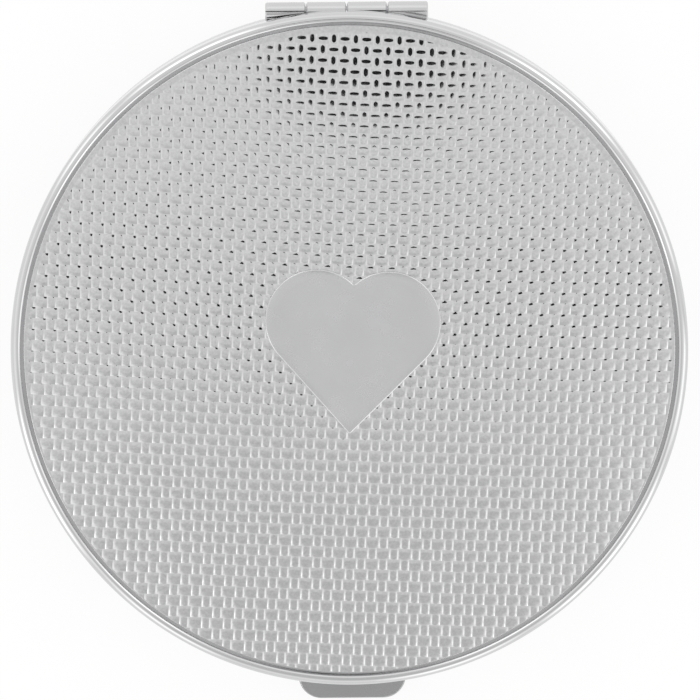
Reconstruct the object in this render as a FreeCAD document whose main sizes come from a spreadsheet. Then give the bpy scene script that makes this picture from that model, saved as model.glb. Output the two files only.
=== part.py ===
"""Round metal compact mirror with a woven lid insert, a rolled hinge and a push latch.

Frame: millimetres, origin at the middle of the flat underside, +Z up, the hinge
at +Y and the push tab at -Y. The compact is closed.
"""

import math
import os

import FreeCAD
import Part
import Sketcher

# Every size of the compact in millimetres: name, value, what it is.
SIZES = [
    ("case_radius", 35.0, "outer radius of the lid"),
    ("base_inset", 0.25, "base inside the lid's outer radius"),
    ("half_height", 4.4, "height of the parting plane"),
    ("seam_gap", 0.1, "gap between the closed shells"),
    ("belly_height", 2.0, "height of the widest ring, and the radius of the lower edge"),
    ("side_radius", 8.0, "radius of the side between the widest ring and the seam"),
    ("wall_thick", 1.1, "wall at the widest ring"),
    ("base_floor", 0.8, "floor of the base"),
    ("lid_depth", 3.6, "parting plane up to the seat of the insert"),
    ("lid_floor", 0.7, "floor of the lid"),
    ("seam_bevel", 0.2, "bevelled edge of each shell at the seam"),
    ("rim_round", 0.72, "outer shoulder of the lid's rim"),
    ("rim_inner", 0.28, "inner edge of the lid's rim"),
    ("rim_height", 0.77, "crest of the rim over the seat of the insert"),
    ("back_gap", 0.08, "flat back of the base to the rim of the opened lid"),
    ("insert_gap", 0.31, "insert to the lid's rim"),
    ("gutter_depth", 0.3, "depth of the gutter between insert and rim"),
    ("insert_thick", 0.45, "sheet of the insert"),
    ("insert_flange", 0.49, "flat border of the insert"),
    ("dome_rise", 2.0, "rise of the insert in the middle"),
    ("insert_pad_radius", 14.0, "flat pad under the insert"),
    ("pad_gap", 0.05, "edge of the pad to the insert"),
    ("heart_lobe", 5.3, "radius of each lobe of the heart"),
    ("heart_spread", 3.7, "lobe centre to the heart's middle line"),
    ("heart_drop", 11.6, "lobe centres down to the tip"),
    ("heart_lift", 2.8, "lobe centres above the insert's middle"),
    ("heart_shift", 0.35, "heart's middle line beside the insert's middle"),
    ("heart_turn", 2.2, "degrees the insert and heart are turned clockwise"),
    ("heart_sink", 0.25, "depth of the heart's seat"),
    ("heart_thick", 0.4, "sheet of the heart"),
    ("heart_gap", 0.03, "heart to its seat"),
    ("heart_bevel", 0.1, "bevel around the heart"),
    ("latch_depth", 4.4, "wall to mirror edge, where the latch lies"),
    ("glass_thick", 1.5, "mirror glass"),
    ("glass_bevel", 0.4, "bevel of the mirror glass"),
    ("mirror_pad_thick", 0.4, "foam behind a mirror"),
    ("mirror_pad_inset", 0.8, "foam edge inside the mirror edge"),
    ("bezel_sheet", 0.38, "sheet of the bezel rings"),
    ("bezel_cover", 0.7, "bezel over the mirror edge"),
    ("bezel_gap", 0.12, "mirror edge to bezel"),
    ("bezel_wall_gap", 0.2, "bezel to shell wall"),
    ("hinge_length", 16.8, "length of the four knuckles"),
    ("hinge_inset", 0.34, "hinge axis inside the lid's outer radius"),
    ("barrel_radius", 1.0, "outer radius of a knuckle"),
    ("leaf_sheet", 0.4, "sheet of the hinge leaves"),
    ("pin_clearance", 0.05, "pin to knuckle"),
    ("knuckle_gap", 0.04, "knuckle to knuckle"),
    ("barrel_gap", 0.15, "knuckles to shells"),
    ("knuckle_bevel", 0.14, "bevel at the ends of the knuckles"),
    ("roll_seam", 0.14, "width of the seam where a base knuckle closes"),
    ("roll_seam_depth", 0.2, "depth of that seam"),
    ("roll_seam_out", 0.16, "that seam beyond the hinge axis"),
    ("leaf_reach", 1.7, "depth of a leaf's flange along the wall"),
    ("tab_nose_half", 3.2, "half of the straight front edge of the tab"),
    ("tab_reach", 2.15, "tab beyond the lid's outer radius"),
    ("tab_corner", 2.35, "corner radius of the tab"),
    ("tab_bottom", 1.0, "underside of the tab"),
    ("tab_thick", 1.5, "thickness of the tab"),
    ("tab_round", 0.15, "rounded edges of the tab"),
    ("tab_clearance", 0.1, "tab to its window and guides"),
    ("flange_half", 6.4, "half of the tab's inner flange"),
    ("flange_thick", 1.3, "tab's inner flange"),
    ("stop_gap", 0.05, "flange to wall"),
    ("tab_travel", 0.8, "how far the tab is pushed in"),
    ("catch_room", 0.3, "free space around the catch"),
    ("hook_half", 2.0, "half of the hook's width"),
    ("hook_sheet", 0.6, "sheet of the hook"),
    ("hook_back", 0.2, "flange behind the hook"),
    ("hook_fit", 0.02, "hook to its slot in the flange"),
    ("nose_reach", 0.55, "nose of the hook"),
    ("nose_height", 0.6, "height of the nose"),
    ("nose_lip", 0.15, "upright tip of the nose"),
    ("nose_crown", 0.15, "flat top of the nose in front of the hook's middle"),
    ("nose_bite", 0.4, "nose over the strike's ledge"),
    ("latch_gap", 0.1, "nose to ledge, upright"),
    ("strike_half", 2.6, "half of the strike's width"),
    ("strike_sheet", 0.4, "ledge of the strike"),
    ("strike_rise", 0.25, "ledge above the parting plane"),
    ("strike_gap", 0.02, "strike to lid wall"),
    ("nose_gap", 0.15, "nose to strike plate"),
    ("keeper_sheet", 0.35, "sheet of the latch keeper"),
    ("keeper_gap", 0.1, "keeper to the bezel's skirt"),
    ("keeper_tip_gap", 0.3, "keeper's cheeks to the wall"),
    ("spring_sheet", 0.2, "leaf spring"),
    ("spring_half", 5.6, "half of the spring's length"),
    ("spring_gap", 0.02, "spring to what it bears on"),
]

SHEET = "dims"
# How far a cut runs past the face that it goes through, and how far a pad is buried in the wall it joins.
OVERCUT = 1.0
BURY = 0.1
# Lengths under this are taken as nothing when faces and edges are picked.
NEAR = 1e-4
# Where the rolled sheet ends, as shares of its radius below and behind the hinge axis.
ROLL_LOW = 0.34
ROLL_BACK = math.sqrt(1.0 - ROLL_LOW**2)


class Size:
    """A number together with the sheet expression that gives it."""

    def __init__(self, value, text):
        self.value = value
        self.text = text

    def __add__(self, other):
        return join(self, "+", other, self.value + number(other))

    def __radd__(self, other):
        return join(other, "+", self, number(other) + self.value)

    def __sub__(self, other):
        return join(self, "-", other, self.value - number(other))

    def __rsub__(self, other):
        return join(other, "-", self, number(other) - self.value)

    def __mul__(self, other):
        return join(self, "*", other, self.value * number(other))

    def __rmul__(self, other):
        return join(other, "*", self, number(other) * self.value)

    def __truediv__(self, other):
        return join(self, "/", other, self.value / number(other))

    def __neg__(self):
        return Size(-self.value, "(-1 * " + self.text + ")")


def number(item):
    """Return the plain value of a Size or a number."""
    return item.value if isinstance(item, Size) else float(item)


def words(item):
    """Return the expression text of a Size or a number."""
    return item.text if isinstance(item, Size) else repr(float(item))


def join(left, sign, right, value):
    """Return the Size that an arithmetic sign makes of two sizes."""
    return Size(value, "(" + words(left) + " " + sign + " " + words(right) + ")")


def root(size):
    """Return the square root of a Size."""
    return Size(math.sqrt(size.value), "sqrt(" + size.text + ")")


def chord(radius, half):
    """Return how far from the middle a chord of that half length lies."""
    return root(radius * radius - half * half)


def make_sheet(document):
    """Fill the sheet and return every size by its name."""
    sheet = document.addObject("Spreadsheet::Sheet", SHEET)
    sizes = {}
    for row, (name, value, meaning) in enumerate(SIZES, start=1):
        sheet.set("A%d" % row, name)
        sheet.set("B%d" % row, str(value))
        sheet.set("C%d" % row, meaning)
        sheet.setAlias("B%d" % row, name)
        sizes[name] = Size(value, SHEET + "." + name)
    document.recompute()
    return sizes


def make_body(document, name):
    """Add an empty body whose label is also its file name."""
    body = document.addObject("PartDesign::Body", name)
    body.Label = name
    return body


def add_sketch(body, plane, height=None):
    """Add a sketch on one of the body's own planes, lifted by a Size if given."""
    sketch = body.newObject("Sketcher::SketchObject", body.Name + "_sketch")
    support = [item for item in body.Origin.OriginFeatures if item.Role == plane][0]
    sketch.AttachmentSupport = (support, [""])
    sketch.MapMode = "FlatFace"
    if height is not None:
        sketch.setExpression("AttachmentOffset.Base.z", height.text)
    return sketch


def arc_between(start, end, radius, left_turn, long_way):
    """Return an arc through two points and whether it begins at the first one."""
    along = end - start
    middle = (start + end) * 0.5
    side = FreeCAD.Vector(-along.y, along.x, 0.0).normalize()
    height = math.sqrt(max(radius**2 - (along.Length / 2.0) ** 2, 0.0))
    sign = 1.0 if left_turn != long_way else -1.0
    centre = middle + side * (height * sign)
    first, last = (start, end) if left_turn else (end, start)
    begin = math.atan2(first.y - centre.y, first.x - centre.x)
    finish = math.atan2(last.y - centre.y, last.x - centre.x)
    circle = Part.Circle(centre, FreeCAD.Vector(0, 0, 1), radius)
    return Part.ArcOfCircle(circle, begin, finish), left_turn


def pin_point(sketch, edge, end, corner):
    """Tie one end of an edge to its two coordinates."""
    for kind, axis, size in (("DistanceX", -2, corner[0]), ("DistanceY", -1, corner[1])):
        if isinstance(size, Size):
            index = sketch.addConstraint(Sketcher.Constraint(kind, -1, 1, edge, end, size.value))
            sketch.setExpression("Constraints[%d]" % index, size.text)
        else:
            sketch.addConstraint(Sketcher.Constraint("PointOnObject", edge, end, axis))


def outline(sketch, corners, arcs=None):
    """Draw a closed outline through corners, pairs of a Size or zero.

    arcs maps the number of an edge's first corner to its radius, whether it turns
    left on its way to the next corner, and whether it goes the long way round.
    """
    arcs = arcs or {}
    points = [FreeCAD.Vector(number(x), number(y), 0.0) for x, y in corners]
    ends = []
    for place, start in enumerate(points):
        end = points[(place + 1) % len(points)]
        if place in arcs:
            radius, left_turn, long_way = arcs[place]
            arc, forward = arc_between(start, end, radius.value, left_turn, long_way)
            edge = sketch.addGeometry(arc, False)
            ends.append((edge, 1 if forward else 2, 2 if forward else 1))
        else:
            edge = sketch.addGeometry(Part.LineSegment(start, end), False)
            ends.append((edge, 1, 2))
    for place, (edge, first, _) in enumerate(ends):
        before, _, last = ends[place - 1]
        sketch.addConstraint(Sketcher.Constraint("Coincident", before, last, edge, first))
        pin_point(sketch, edge, first, corners[place])
    for place, (radius, _, _) in arcs.items():
        edge = ends[place][0]
        index = sketch.addConstraint(Sketcher.Constraint("Radius", edge, radius.value))
        sketch.setExpression("Constraints[%d]" % index, radius.text)


def box_corners(low_x, high_x, low_y, high_y):
    """Return the four corners of an upright rectangle."""
    return [(low_x, low_y), (high_x, low_y), (high_x, high_y), (low_x, high_y)]


def revolve(body, corners, arcs=None):
    """Turn an outline of radius and height once around the Z axis."""
    sketch = add_sketch(body, "XZ_Plane")
    outline(sketch, corners, arcs)
    feature = body.newObject("PartDesign::Revolution", body.Name + "_turned")
    feature.Profile = sketch
    feature.ReferenceAxis = (sketch, ["V_Axis"])
    feature.Angle = 360.0
    sketch.Visibility = False
    return feature


def raise_pad(body, loops, low, high, plane="XY_Plane"):
    """Pad outlines from one height to another along the plane's normal."""
    sketch = add_sketch(body, plane, low)
    for corners, arcs in loops:
        outline(sketch, corners, arcs)
    feature = body.newObject("PartDesign::Pad", body.Name + "_pad")
    feature.Profile = sketch
    feature.setExpression("Length", (high - low).text)
    return feature


def cut_pocket(body, loops, low, high, plane="XY_Plane"):
    """Cut outlines out of a body between two distances from a plane."""
    sketch = add_sketch(body, plane, high)
    for corners, arcs in loops:
        outline(sketch, corners, arcs)
    feature = body.newObject("PartDesign::Pocket", body.Name + "_cut")
    feature.Profile = sketch
    feature.setExpression("Length", (high - low).text)
    return feature


def make_disc(document, name, radius, low, thick):
    """Add a plain round disc."""
    disc = document.addObject("Part::Cylinder", name)
    disc.Label = name
    disc.setExpression("Radius", radius.text)
    disc.setExpression("Height", thick.text)
    disc.setExpression("Placement.Base.z", low.text)
    return disc


class Compact:
    """The compact's pieces, built on one sheet of sizes."""

    def __init__(self, document):
        self.document = document
        self.s = make_sheet(document)
        self.pieces = []
        s = self.s
        self.parting = s["half_height"]
        self.wall = s["case_radius"] - s["wall_thick"]
        self.base_top = s["half_height"] - s["seam_gap"] / 2
        self.lid_bottom = s["half_height"] + s["seam_gap"] / 2
        self.seat = s["half_height"] + s["lid_depth"]
        self.lid_under = self.seat - s["lid_floor"]
        self.axis_y = s["case_radius"] - s["hinge_inset"]
        self.back_y = 2 * self.axis_y - s["case_radius"] - s["back_gap"]
        self.notch_half = s["hinge_length"] / 2 + s["barrel_gap"]
        self.leaf_y = chord(self.wall, self.notch_half)
        self.mirror_radius = self.wall - s["latch_depth"]
        self.skirt_in = self.mirror_radius + s["bezel_gap"]
        self.skirt_out = self.skirt_in + s["bezel_sheet"]
        self.tab_half = s["tab_nose_half"] + s["tab_corner"]
        self.stop_half = s["flange_half"] + 2 * s["tab_clearance"]
        self.stop_y = chord(self.wall, self.stop_half)
        self.flange_front = self.stop_y - s["stop_gap"]
        self.flange_back = self.flange_front - s["flange_thick"]
        self.hook_back = self.flange_back + s["hook_back"]
        self.hook_front = self.hook_back + s["hook_sheet"]
        self.nose_tip = self.hook_front + s["nose_reach"]
        self.keeper_front = self.skirt_out + s["keeper_gap"] + s["keeper_sheet"]
        self.tab_top = s["tab_bottom"] + s["tab_thick"]
        self.catch_notch = self.hook_back - s["tab_travel"] - s["catch_room"]
        self.crest = self.seat + s["rim_height"]
        self.rim_foot = s["case_radius"] - s["rim_round"] - s["rim_inner"]
        self.insert_radius = self.rim_foot - s["insert_gap"]
        self.dome_foot = self.insert_radius - s["insert_flange"]
        rise = s["dome_rise"]
        self.dome_sphere = (self.dome_foot * self.dome_foot + rise * rise) / (2 * rise)

    def keep(self, piece):
        """Remember a finished piece."""
        self.pieces.append(piece)
        return piece

    def lip(self, radius):
        """Return where the side of a shell of that radius meets the bevelled edge of the seam."""
        s = self.s
        rise = self.base_top - s["seam_bevel"] - s["belly_height"]
        return radius - s["side_radius"] + chord(s["side_radius"], rise)

    def segment(self, chord_y, side):
        """Return the loop between a chord across the pan and its wall.

        side is 1 at the hinge and -1 at the tab. The arc runs just inside the wall,
        so that the pad joins it.
        """
        bury = self.wall + BURY
        half = chord(bury, chord_y)
        level = chord_y * side
        if side > 0:
            return [(half, level), (-half, level)], {0: (bury, True, False)}
        return [(-half, level), (half, level)], {0: (bury, True, False)}

    def hinge_cuts(self, body, seat_low, seat_high, deep_low, deep_high):
        """Cut a shell's hinge notch and its deeper barrel bay."""
        s = self.s
        out = s["case_radius"] + OVERCUT
        inner = self.leaf_y - OVERCUT
        bay = self.axis_y - s["barrel_radius"] - s["barrel_gap"]
        half = self.notch_half
        cut_pocket(body, [(box_corners(-half, half, inner, out), None)], seat_low, seat_high)
        cut_pocket(body, [(box_corners(-half, half, bay, out), None)], deep_low, deep_high)

    def base_shell(self):
        """Turn the base pan, then add its seats and cut its notch, its flat back and its window."""
        s = self.s
        body = make_body(self.document, "base_shell")
        radius = s["case_radius"] - s["base_inset"]
        lip = self.lip(radius)
        corners = [
            (0, 0),
            (radius - s["belly_height"], 0),
            (radius, s["belly_height"]),
            (lip, self.base_top - s["seam_bevel"]),
            (lip - s["seam_bevel"], self.base_top),
            (self.wall, self.base_top),
            (self.wall, s["base_floor"]),
            (0, s["base_floor"]),
        ]
        arcs = {1: (s["belly_height"], True, False), 2: (s["side_radius"], True, False)}
        revolve(body, corners, arcs)
        shelf = self.parting - s["barrel_radius"]
        raise_pad(body, [self.segment(self.leaf_y, 1)], s["base_floor"], shelf)
        window_top = self.tab_top + s["tab_clearance"]
        raise_pad(body, [self.segment(self.stop_y, -1)], s["base_floor"], window_top)
        above = self.base_top + OVERCUT
        self.hinge_cuts(body, shelf, above, shelf - s["barrel_gap"], above)
        wide = chord(radius, self.back_y) + OVERCUT
        back = box_corners(-wide, wide, self.back_y, s["case_radius"] + OVERCUT)
        cut_pocket(body, [(back, None)], -OVERCUT, above)
        half = self.tab_half + s["tab_clearance"]
        front = -1 * (s["case_radius"] + OVERCUT)
        window = box_corners(-half, half, front, -1 * (self.stop_y - OVERCUT))
        cut_pocket(body, [(window, None)], s["tab_bottom"] - s["tab_clearance"], window_top)
        return self.keep(body)

    def lid_shell(self):
        """Turn the lid pan with its raised rim and gutter, then add its seat and cut its notch."""
        s = self.s
        body = make_body(self.document, "lid_shell")
        lip = self.lip(s["case_radius"])
        corners = [
            (0, self.lid_under),
            (self.wall, self.lid_under),
            (self.wall, self.lid_bottom),
            (lip - s["seam_bevel"], self.lid_bottom),
            (lip, self.lid_bottom + s["seam_bevel"]),
            (s["case_radius"], 2 * self.parting - s["belly_height"]),
            (s["case_radius"], self.crest - s["rim_round"]),
            (s["case_radius"] - s["rim_round"], self.crest),
            (self.rim_foot, self.crest - s["rim_inner"]),
            (self.rim_foot, self.seat),
            (self.rim_foot - s["insert_gap"] / 2, self.seat - s["gutter_depth"]),
            (self.insert_radius, self.seat),
            (0, self.seat),
        ]
        arcs = {
            4: (s["side_radius"], True, False),
            6: (s["rim_round"], True, False),
            7: (s["rim_inner"], True, False),
        }
        revolve(body, corners, arcs)
        shelf = self.parting + s["barrel_radius"]
        raise_pad(body, [self.segment(self.leaf_y, 1)], shelf, self.lid_under)
        below = self.lid_bottom - OVERCUT
        self.hinge_cuts(body, below, shelf, below, shelf + s["barrel_gap"])
        return self.keep(body)

    def mirror(self, name, back, facing):
        """Turn a bevelled glass disc whose back is at a height; facing is 1 up or -1 down."""
        s = self.s
        body = make_body(self.document, name)
        face = back + facing * s["glass_thick"]
        edge = face - facing * s["glass_bevel"]
        inner = self.mirror_radius - s["glass_bevel"]
        revolve(
            body,
            [
                (0, back),
                (self.mirror_radius, back),
                (self.mirror_radius, edge),
                (inner, face),
                (0, face),
            ],
        )
        return self.keep(body)

    def bezel(self, name, floor, facing):
        """Turn a ring that lips over the mirror, with a flat at the hinge and a latch notch."""
        s = self.s
        body = make_body(self.document, name)
        low = floor + facing * (s["mirror_pad_thick"] + s["glass_thick"])
        high = low + facing * s["bezel_sheet"]
        inner = self.mirror_radius - s["bezel_cover"]
        outer = self.wall - s["bezel_wall_gap"]
        revolve(
            body,
            [
                (inner, low),
                (self.skirt_in, low),
                (self.skirt_in, floor),
                (self.skirt_out, floor),
                (self.skirt_out, low),
                (outer, low),
                (outer, high),
                (inner, high),
            ],
        )
        under = (low if facing > 0 else high) - s["bezel_sheet"] / 2
        over = (high if facing > 0 else low) + s["bezel_sheet"] / 2
        back = self.leaf_y - s["leaf_sheet"] - s["bezel_wall_gap"]
        wide = chord(outer, back) + OVERCUT
        half = s["strike_half"] + s["catch_room"]
        loops = [
            (box_corners(-wide, wide, back, s["case_radius"] + OVERCUT), None),
            (box_corners(-half, half, -1 * s["case_radius"], -1 * self.catch_notch), None),
        ]
        cut_pocket(body, loops, under, over)
        return self.keep(body)

    def hinge_leaf(self, name, facing, kept):
        """Pad a rolled leaf across the hinge, then cut away the other leaf's knuckles.

        facing is -1 for the leaf in the base and 1 for the leaf in the lid. kept
        holds the numbers, from the left, of the knuckles that stay. Their ends are
        bevelled, and those of the base show the seam where the sheet closes.
        """
        s = self.s
        body = make_body(self.document, name)
        outer = s["barrel_radius"]
        bore = outer - s["leaf_sheet"]
        y, z = self.axis_y, self.parting
        back_y = self.leaf_y - s["leaf_sheet"]
        end_z = z + facing * (outer + s["leaf_reach"])
        low, inner = z + facing * outer, z + facing * bore
        corners = [
            (y, low),
            (y - outer * ROLL_BACK, z + facing * (outer * ROLL_LOW)),
            (y - bore * ROLL_BACK, z + facing * (bore * ROLL_LOW)),
            (y, inner),
            (back_y, inner),
            (back_y, end_z),
            (self.leaf_y, end_z),
            (self.leaf_y, low),
        ]
        turns_left = facing < 0
        arcs = {0: (outer, turns_left, True), 2: (bore, not turns_left, True)}
        half = s["hinge_length"] / 2
        raise_pad(body, [(corners, arcs)], -half, half, "YZ_Plane")
        width = s["hinge_length"] / 4
        start = self.axis_y - outer - s["barrel_gap"]
        loops = []
        for place in range(4):
            if place in kept:
                continue
            left = width * (place - 2)
            right = width * (place - 1)
            left = left - (OVERCUT if place == 0 else s["knuckle_gap"])
            right = right + (OVERCUT if place == 3 else s["knuckle_gap"])
            loops.append((box_corners(left, right, start, y + outer + OVERCUT), None))
        last = cut_pocket(body, loops, z - outer - OVERCUT, z + outer + OVERCUT)
        self.document.recompute()
        names = [
            "Edge%d" % place
            for place, edge in enumerate(last.Shape.Edges, start=1)
            if edge.BoundBox.XLength < NEAR and isinstance(edge.Curve, Part.Circle)
            and abs(edge.Curve.Radius - outer.value) < NEAR
        ]
        bevel = body.newObject("PartDesign::Chamfer", name + "_bevelled")
        bevel.Base = (last, names)
        bevel.setExpression("Size", s["knuckle_bevel"].text)
        if facing < 0:
            middle, crown = y + s["roll_seam_out"], z + outer
            seam = [
                (middle - s["roll_seam"] / 2, crown),
                (middle, crown - s["roll_seam_depth"]),
                (middle + s["roll_seam"] / 2, crown),
            ]
            cut_pocket(body, [(seam, None)], -half, half, "YZ_Plane")
        return self.keep(body)

    def hinge_pin(self):
        """Lay the pin along the hinge axis."""
        s = self.s
        pin = self.document.addObject("Part::Cylinder", "hinge_pin")
        pin.Label = "hinge_pin"
        radius = s["barrel_radius"] - s["leaf_sheet"] - s["pin_clearance"]
        pin.setExpression("Radius", radius.text)
        pin.setExpression("Height", s["hinge_length"].text)
        pin.Placement.Rotation = FreeCAD.Rotation(FreeCAD.Vector(0, 1, 0), 90)
        pin.setExpression("Placement.Base.x", (s["hinge_length"] * -0.5).text)
        pin.setExpression("Placement.Base.y", self.axis_y.text)
        pin.setExpression("Placement.Base.z", self.parting.text)
        return self.keep(pin)

    def woven_insert(self):
        """Turn the domed sheet and sink the heart's seat into it."""
        s = self.s
        body = make_body(self.document, "woven_insert")
        outer, foot, sphere = self.insert_radius, self.dome_foot, self.dome_sphere
        rim = self.seat + s["insert_thick"]
        corners = [
            (0, self.seat + s["dome_rise"]),
            (foot, self.seat),
            (outer, self.seat),
            (outer, rim),
            (foot, rim),
            (0, rim + s["dome_rise"]),
        ]
        revolve(body, corners, {0: (sphere, False, False), 4: (sphere, True, False)})
        crown = rim + s["dome_rise"]
        cut_pocket(body, [self.heart(s["heart_lobe"], s["heart_drop"])], crown - s["heart_sink"], crown + OVERCUT)
        return self.keep(body)

    def insert_pad(self):
        """Lay the flat pad under the dome, as thick as the dome leaves room at its edge."""
        s = self.s
        radius = s["insert_pad_radius"]
        thick = s["dome_rise"] - s["pad_gap"] - (self.dome_sphere - chord(self.dome_sphere, radius))
        return self.keep(make_disc(self.document, "insert_pad", radius, self.seat, thick))

    def heart(self, lobe, drop):
        """Return the loop of a heart: two lobes and two straight sides that touch them.

        The straight sides meet the lobes where the line from the tip is tangent.
        """
        s = self.s
        spread = s["heart_spread"]
        reach = root(spread * spread + drop * drop)
        side = chord(reach, lobe)
        along_x = (side * spread + lobe * drop) / (reach * reach) * side
        along_y = (side * drop - lobe * spread) / (reach * reach) * side
        notch = chord(lobe, spread)
        plain = [(0.0, drop * -1), (along_x, along_y - drop), (0.0, notch), (-along_x, along_y - drop)]
        corners = [self.turned(x, y) for x, y in plain]
        return corners, {1: (lobe, True, True), 2: (lobe, True, True)}

    def turned(self, x, y):
        """Return a point of the heart shifted and turned onto the insert."""
        s = self.s
        turn = math.radians(s["heart_turn"].value)
        sine = Size(math.sin(turn), "sin(" + s["heart_turn"].text + ")")
        cosine = Size(math.cos(turn), "cos(" + s["heart_turn"].text + ")")
        x = x + s["heart_shift"]
        y = y + s["heart_lift"]
        return x * cosine + y * sine, y * cosine - x * sine

    def heart_plaque(self):
        """Pad the heart a little smaller than its seat and bevel its top edge."""
        s = self.s
        body = make_body(self.document, "heart_plaque")
        lobe = s["heart_lobe"] - s["heart_gap"]
        drop = s["heart_drop"] * lobe / s["heart_lobe"]
        floor = self.seat + s["insert_thick"] + s["dome_rise"] - s["heart_sink"]
        top = floor + s["heart_thick"]
        pad = raise_pad(body, [self.heart(lobe, drop)], floor, top)
        self.document.recompute()
        name = [
            "Face%d" % place
            for place, face in enumerate(pad.Shape.Faces, start=1)
            if abs(face.CenterOfMass.z - top.value) < NEAR
        ][0]
        bevel = body.newObject("PartDesign::Chamfer", "heart_bevelled")
        bevel.Base = (pad, [name])
        bevel.setExpression("Size", s["heart_bevel"].text)
        return self.keep(body)

    def push_tab(self):
        """Pad the tab and its inner flange, cut the hook's slot and round the outer edges."""
        s = self.s
        body = make_body(self.document, "push_tab")
        half, nose = self.tab_half, s["tab_nose_half"]
        front = -1 * (s["case_radius"] + s["tab_reach"])
        knee = front + s["tab_corner"]
        back = -1 * (self.flange_front - s["flange_thick"] / 2)
        corners = [(-half, knee), (-nose, front), (nose, front), (half, knee), (half, back), (-half, back)]
        corner = s["tab_corner"]
        arcs = {0: (corner, True, False), 2: (corner, True, False)}
        low, high = s["tab_bottom"], self.tab_top
        raise_pad(body, [(corners, arcs)], low, high)
        wide = s["flange_half"]
        flange = box_corners(-wide, wide, -1 * self.flange_front, -1 * self.flange_back)
        raise_pad(body, [(flange, None)], low, high)
        fit = s["hook_fit"]
        slot = box_corners(
            -1 * (s["hook_half"] + fit),
            s["hook_half"] + fit,
            -1 * (self.hook_front + fit),
            -1 * (self.hook_back - fit),
        )
        slotted = cut_pocket(body, [(slot, None)], low - OVERCUT, high + OVERCUT)
        self.document.recompute()
        names = [
            "Edge%d" % place
            for place, edge in enumerate(slotted.Shape.Edges, start=1)
            if edge.BoundBox.ZLength < NEAR and edge.CenterOfMass.y < knee.value
        ]
        rounded = body.newObject("PartDesign::Fillet", "tab_rounded")
        rounded.Base = (slotted, names)
        rounded.setExpression("Radius", s["tab_round"].text)
        return self.keep(body)

    def catch_hook(self):
        """Pad the hook's side outline across its width."""
        s = self.s
        body = make_body(self.document, "catch_hook")
        under = self.parting + s["strike_rise"] + s["strike_sheet"] + s["latch_gap"]
        top = under + s["nose_height"]
        corners = [
            (-1 * self.hook_front, s["tab_bottom"]),
            (-1 * self.hook_front, under),
            (-1 * self.nose_tip, under),
            (-1 * self.nose_tip, under + s["nose_lip"]),
            (-1 * (self.hook_front - s["nose_crown"]), top),
            (-1 * self.hook_back, top),
            (-1 * self.hook_back, s["tab_bottom"]),
        ]
        raise_pad(body, [(corners, None)], -1 * s["hook_half"], s["hook_half"], "YZ_Plane")
        return self.keep(body)

    def lid_strike(self):
        """Pad the strike's plate against the lid wall and its ledge under the nose."""
        s = self.s
        body = make_body(self.document, "lid_strike")
        half = s["strike_half"]
        round_face = self.wall - s["strike_gap"]
        corner_y = -1 * chord(round_face, half)
        plate = -1 * (self.nose_tip + s["nose_gap"])
        ledge = -1 * (self.nose_tip - s["nose_bite"])
        low = self.parting + s["strike_rise"]
        arcs = {0: (round_face, True, False)}
        upright = [(-half, corner_y), (half, corner_y), (half, plate), (-half, plate)]
        raise_pad(body, [(upright, arcs)], low, self.lid_under)
        shelf = [(-half, corner_y), (half, corner_y), (half, ledge), (-half, ledge)]
        raise_pad(body, [(shelf, arcs)], low, low + s["strike_sheet"])
        return self.keep(body)

    def latch_keeper(self):
        """Pad the keeper's outline: a back wall with a cheek on each side of the flange."""
        s = self.s
        body = make_body(self.document, "latch_keeper")
        inner = s["flange_half"] + s["tab_clearance"]
        outer = inner + s["keeper_sheet"]
        back = -1 * (self.keeper_front - s["keeper_sheet"])
        face = -1 * self.keeper_front
        tip = -1 * (chord(self.wall, outer) - s["keeper_tip_gap"])
        corners = [
            (-1 * outer, tip),
            (-1 * inner, tip),
            (-1 * inner, face),
            (inner, face),
            (inner, tip),
            (outer, tip),
            (outer, back),
            (-1 * outer, back),
        ]
        raise_pad(body, [(corners, None)], s["base_floor"], self.tab_top + s["tab_clearance"])
        return self.keep(body)

    def latch_spring(self):
        """Pad the bowed strip between the keeper and the tab's flange."""
        s = self.s
        body = make_body(self.document, "latch_spring")
        half, sheet = s["spring_half"], s["spring_sheet"]
        ends = self.keeper_front + s["spring_gap"]
        rise = self.flange_back - s["spring_gap"] - sheet - ends
        radius = (half * half + rise * rise) / (2 * rise)
        corners = box_corners(-half, half, -1 * (ends + sheet), -1 * ends)
        arcs = {0: (radius, True, False), 2: (radius, False, False)}
        low = s["tab_bottom"] + s["tab_clearance"]
        raise_pad(body, [(corners, arcs)], low, self.tab_top - s["tab_clearance"])
        return self.keep(body)

    def build(self):
        """Build every piece."""
        s = self.s
        floor, pad = s["base_floor"], s["mirror_pad_thick"]
        pad_radius = self.mirror_radius - s["mirror_pad_inset"]
        self.base_shell()
        self.keep(make_disc(self.document, "base_mirror_pad", pad_radius, floor, pad))
        self.mirror("base_mirror", floor + pad, 1)
        self.bezel("base_bezel", floor, 1)
        self.hinge_leaf("base_hinge_leaf", -1, (0, 2))
        self.hinge_pin()
        self.latch_keeper()
        self.latch_spring()
        self.push_tab()
        self.catch_hook()
        self.lid_shell()
        self.insert_pad()
        self.woven_insert()
        self.heart_plaque()
        self.keep(make_disc(self.document, "lid_mirror_pad", pad_radius, self.lid_under - pad, pad))
        self.mirror("lid_mirror", self.lid_under - pad, -1)
        self.bezel("lid_bezel", self.lid_under, -1)
        self.hinge_leaf("lid_hinge_leaf", 1, (1, 3))
        self.lid_strike()
        self.document.recompute()


def export(document, pieces):
    """Check every object and write each piece to its own file."""
    for item in document.Objects:
        if "Invalid" in item.State or "Error" in item.State:
            raise RuntimeError(item.Name + " did not build")
    os.makedirs("parts", exist_ok=True)
    for piece in pieces:
        shape = piece.Shape
        if shape.isNull() or not shape.isValid() or len(shape.Solids) != 1:
            raise RuntimeError(piece.Label + " is not one valid solid")
        shape.exportStep("parts/" + piece.Label + ".step")


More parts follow.
